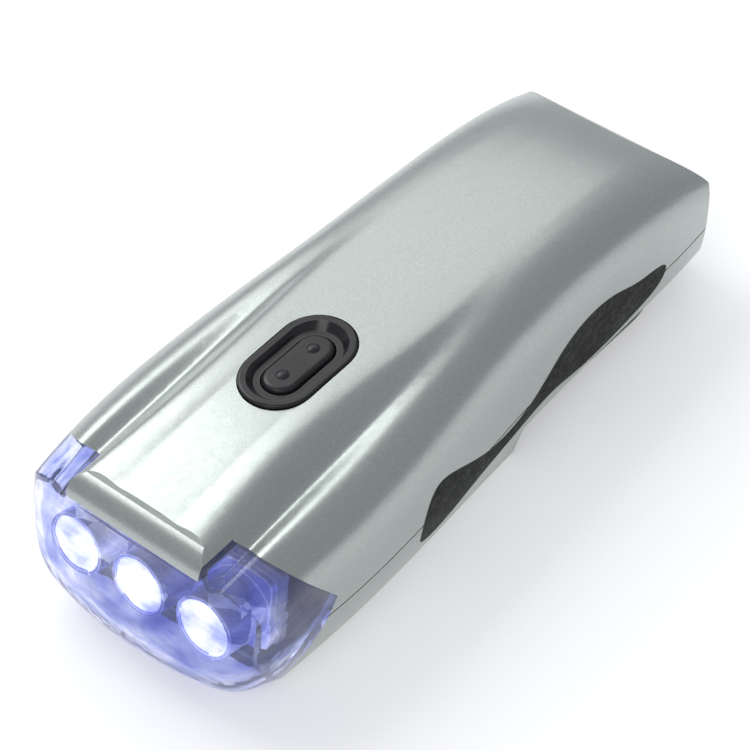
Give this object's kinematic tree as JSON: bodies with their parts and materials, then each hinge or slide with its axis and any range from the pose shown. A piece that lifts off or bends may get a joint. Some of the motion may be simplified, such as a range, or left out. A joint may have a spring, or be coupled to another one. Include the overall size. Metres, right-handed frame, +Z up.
{
  "type": "hand crank flashlight",
  "caption": "Palm-sized hand crank flashlight with a clear head, a row of lamps, rubber side grips, a push button and a crank that folds flush into the underside.",
  "frame": {"origin": "on the flat underside on the middle plane, just in front of the crank bay", "axes": "+Z up, +Y from the lamps towards the tail, +X to the right of the lamps seen from the front"},
  "size_m": [0.0492, 0.1199, 0.0316],
  "materials": {
    "silver": "satin",
    "clear": "polished",
    "grip_rubber": "matte",
    "black_gloss": "glossy",
    "black_button": "satin",
    "reflector_white": "satin",
    "frosted": "satin",
    "led_epoxy": "glossy",
    "board_white": "matte",
    "board_green": "satin",
    "component_black": "matte",
    "component_white": "satin",
    "cell_steel": "brushed",
    "spring_brass": "satin",
    "frame_plastic": "satin",
    "gear_white": "satin",
    "steel": "satin",
    "can_steel": "satin",
    "copper": "satin",
    "magnet": "satin",
    "crank_black": "satin",
    "lead_sheath": "satin"
  },
  "bodies": {
    "body": {"top_shell": "silver", "bottom_shell": "silver", "head_lens": "clear", "grip_left": "grip_rubber", "grip_right": "grip_rubber", "switch_bezel": "black_gloss", "reflector": "reflector_white", "lamp_optics": "frosted", "led_1": "led_epoxy", "led_2": "led_epoxy", "led_3": "led_epoxy", "lamp_board": "board_white", "main_board": "board_green", "board_parts": "component_black", "push_switch": "component_black", "cell_holder": "component_black", "coin_cell_1": "cell_steel", "coin_cell_2": "cell_steel", "cell_clip": "spring_brass", "gearbox_base": "frame_plastic", "gearbox_frame": "frame_plastic", "gear_axles": "steel", "gearbox_screws": "steel", "short_screws": "steel", "case_screws_front": "steel", "case_screws_rear": "steel", "generator_can": "can_steel", "stator_coil": "copper", "lamp_leads": "lead_sheath", "generator_leads": "lead_sheath", "battery_leads": "lead_sheath"},
    "button": {"switch_button": "black_button", "switch_plunger": "component_white"},
    "crank": {"crank_arm": "crank_black", "crank_washer": "steel", "crank_shaft": "steel", "crank_gear": "gear_white", "crank_screw": "steel", "hinge_pin": "steel"},
    "knob_bracket": {"knob_lug": "crank_black", "knob_axle": "steel"},
    "knob": {"crank_knob": "crank_black"},
    "first_idler": {"first_idler_gear": "gear_white"},
    "second_idler": {"second_idler_gear": "gear_white"},
    "rotor": {"rotor_pinion": "spring_brass", "rotor_magnet": "magnet", "rotor_shaft": "steel"}
  },
  "joints": [
    {"name": "button_press", "type": "slide", "parent": "body", "child": "button", "axis": [0, 0, -1], "range_m": [0, 0.001], "stiffness_N_per_m": 300, "springref_m": -0.001},
    {"name": "crank_spin", "type": "hinge", "parent": "body", "child": "crank", "pos_m": [0, 0.04, 0.011], "axis": [0, 0, 1], "continuous": true},
    {"name": "first_idler_spin", "type": "hinge", "parent": "body", "child": "first_idler", "pos_m": [-0.004, 0.02245, 0.011], "axis": [0, 0, 1], "continuous": true},
    {"name": "second_idler_spin", "type": "hinge", "parent": "body", "child": "second_idler", "pos_m": [0.005, 0.00826, 0.011], "axis": [0, 0, 1], "continuous": true},
    {"name": "rotor_spin", "type": "hinge", "parent": "body", "child": "rotor", "pos_m": [0, -0.00524, 0.011], "axis": [0, 0, 1], "continuous": true},
    {"name": "knob_fold", "type": "hinge", "parent": "crank", "child": "knob_bracket", "pos_m": [0, 0.0086, 0.0031], "axis": [-1, 0, 0], "range_deg": [0, 90]},
    {"name": "knob_spin", "type": "hinge", "parent": "knob_bracket", "child": "knob", "pos_m": [0, 0.02, 0.0031], "axis": [0, 1, 0], "continuous": true}
  ],
  "couplings": [
    {"joint": "first_idler_spin", "follows": "crank_spin", "ratio": -3},
    {"joint": "second_idler_spin", "follows": "crank_spin", "ratio": 9},
    {"joint": "rotor_spin", "follows": "crank_spin", "ratio": -27}
  ]
}
